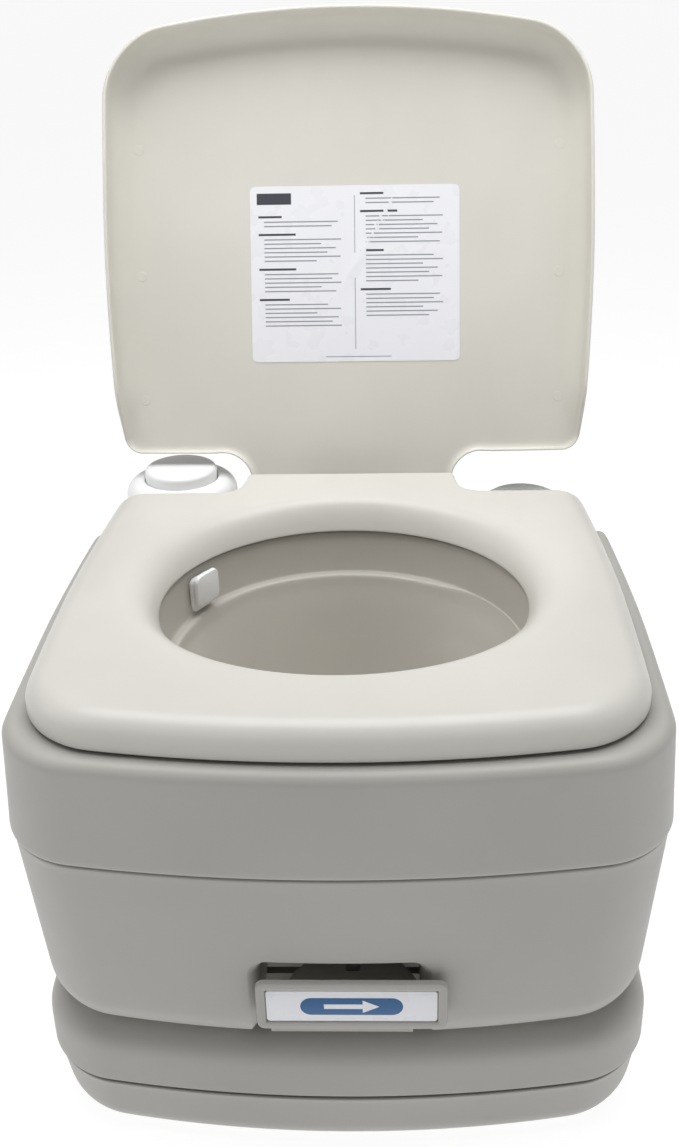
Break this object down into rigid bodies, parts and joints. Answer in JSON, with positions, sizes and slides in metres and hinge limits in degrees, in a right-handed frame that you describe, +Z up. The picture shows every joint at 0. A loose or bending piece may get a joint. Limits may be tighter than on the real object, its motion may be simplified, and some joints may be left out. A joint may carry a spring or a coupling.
{
  "type": "cassette toilet",
  "caption": "Portable two-part camping toilet: flush water tank with bowl, seat, lid and bellows pump on a removable waste tank with slide valve.",
  "frame": {"origin": "on the floor under the middle of the tanks' base", "axes": "+Z up, -Y towards the front with the valve handle, +X to the right seen from the front"},
  "size_m": [0.391, 0.4805, 0.6022],
  "materials": {
    "tank_plastic": "satin moulded polyethylene, fine grain, light soiling along edges",
    "shade_plastic": "satin moulded plastic, slightly warmer",
    "seat_plastic": "satin moulded polypropylene",
    "white_plastic": "semi-gloss white moulded plastic",
    "label_sheet": "white printed film with plain grey bars",
    "handle_plate": "white plate with a plain blue band and a plain arrow",
    "seal_rubber": "dark matt rubber",
    "steel": "bright steel"
  },
  "bodies": {
    "waste_tank": {"waste_tank_base": "tank_plastic", "waste_tank_top": "tank_plastic", "valve_housing": "shade_plastic", "valve_seal_lower": "seal_rubber", "valve_seal_upper": "seal_rubber", "valve_screws": "steel", "spout": "tank_plastic", "vent_socket": "shade_plastic", "vent_spring": "steel", "carry_handle": "tank_plastic", "carry_handle_screws": "steel"},
    "valve_slide": {"valve_blade": "shade_plastic", "valve_handle": "tank_plastic", "handle_label": "handle_plate"},
    "spout_gasket": {"spout_gasket": "seal_rubber"},
    "spout_cap": {"spout_cap": "white_plastic"},
    "vent_button": {"vent_button": "white_plastic"},
    "flush_tank": {"flush_tank_base": "tank_plastic", "flush_tank_top": "tank_plastic", "bowl": "shade_plastic", "drain_seal": "seal_rubber", "nozzle_base": "white_plastic", "nozzle_cap": "white_plastic", "flush_hose": "seal_rubber", "pump_collar": "white_plastic", "pump_cylinder": "shade_plastic", "pump_bellows": "seal_rubber", "intake_tube": "shade_plastic", "check_valve": "shade_plastic", "filler_neck": "shade_plastic", "hinge_pin_left": "steel", "hinge_pin_right": "steel", "latch_pin_left": "steel", "latch_pin_right": "steel"},
    "pump_button": {"pump_button": "white_plastic"},
    "filler_gasket": {"filler_gasket": "seal_rubber"},
    "filler_cap": {"filler_cap": "white_plastic"},
    "latch_left": {"latch_left": "shade_plastic"},
    "latch_right": {"latch_right": "shade_plastic"},
    "seat": {"seat": "seat_plastic", "seat_bumpers": "seal_rubber"},
    "lid": {"lid": "tank_plastic", "lid_label": "label_sheet"}
  },
  "joints": [
    {"name": "tank_lift", "type": "slide", "parent": "waste_tank", "child": "flush_tank", "axis": [0, 0, 1], "range_m": [0, 0.1]},
    {"name": "valve_pull", "type": "slide", "parent": "waste_tank", "child": "valve_slide", "axis": [0, -1, 0], "range_m": [0, 0.092]},
    {"name": "spout_gasket_travel", "type": "slide", "parent": "waste_tank", "child": "spout_gasket", "axis": [0, 1, 0], "range_m": [0, 0.006]},
    {"name": "spout_cap_turn", "type": "hinge", "parent": "spout_gasket", "child": "spout_cap", "pos_m": [0.112, 0.19, 0.046], "axis": [0, 1, 0], "range_deg": [0, 540]},
    {"name": "vent_press", "type": "slide", "parent": "waste_tank", "child": "vent_button", "axis": [0, -1, 0], "range_m": [0, 0.0035], "stiffness_N_per_m": 400, "deforming": ["vent_spring"]},
    {"name": "pump_press", "type": "slide", "parent": "flush_tank", "child": "pump_button", "axis": [0, 0, -1], "range_m": [0, 0.022], "stiffness_N_per_m": 600, "deforming": ["pump_bellows"]},
    {"name": "filler_gasket_travel", "type": "slide", "parent": "flush_tank", "child": "filler_gasket", "axis": [0, 0, 1], "range_m": [0, 0.006]},
    {"name": "filler_cap_turn", "type": "hinge", "parent": "filler_gasket", "child": "filler_cap", "pos_m": [0.127, 0.165, 0.25], "axis": [0, 0, 1], "range_deg": [0, 540]},
    {"name": "latch_left_swing", "type": "hinge", "parent": "flush_tank", "child": "latch_left", "pos_m": [-0.1865, 0.014, 0.134], "axis": [0, 1, 0], "range_deg": [0, 60]},
    {"name": "latch_right_swing", "type": "hinge", "parent": "flush_tank", "child": "latch_right", "pos_m": [0.1865, 0.014, 0.134], "axis": [0, -1, 0], "range_deg": [0, 60]},
    {"name": "seat_hinge", "type": "hinge", "parent": "flush_tank", "child": "seat", "pos_m": [0, 0.139, 0.281], "axis": [-1, 0, 0], "range_deg": [0, 85]},
    {"name": "lid_hinge", "type": "hinge", "parent": "flush_tank", "child": "lid", "pos_m": [0, 0.139, 0.281], "axis": [-1, 0, 0], "range_deg": [-110, 0]}
  ],
  "couplings": [
    {"joint": "spout_cap_turn", "follows": "spout_gasket_travel", "rad_per_m": 1570.8},
    {"joint": "filler_cap_turn", "follows": "filler_gasket_travel", "rad_per_m": 1570.8}
  ]
}
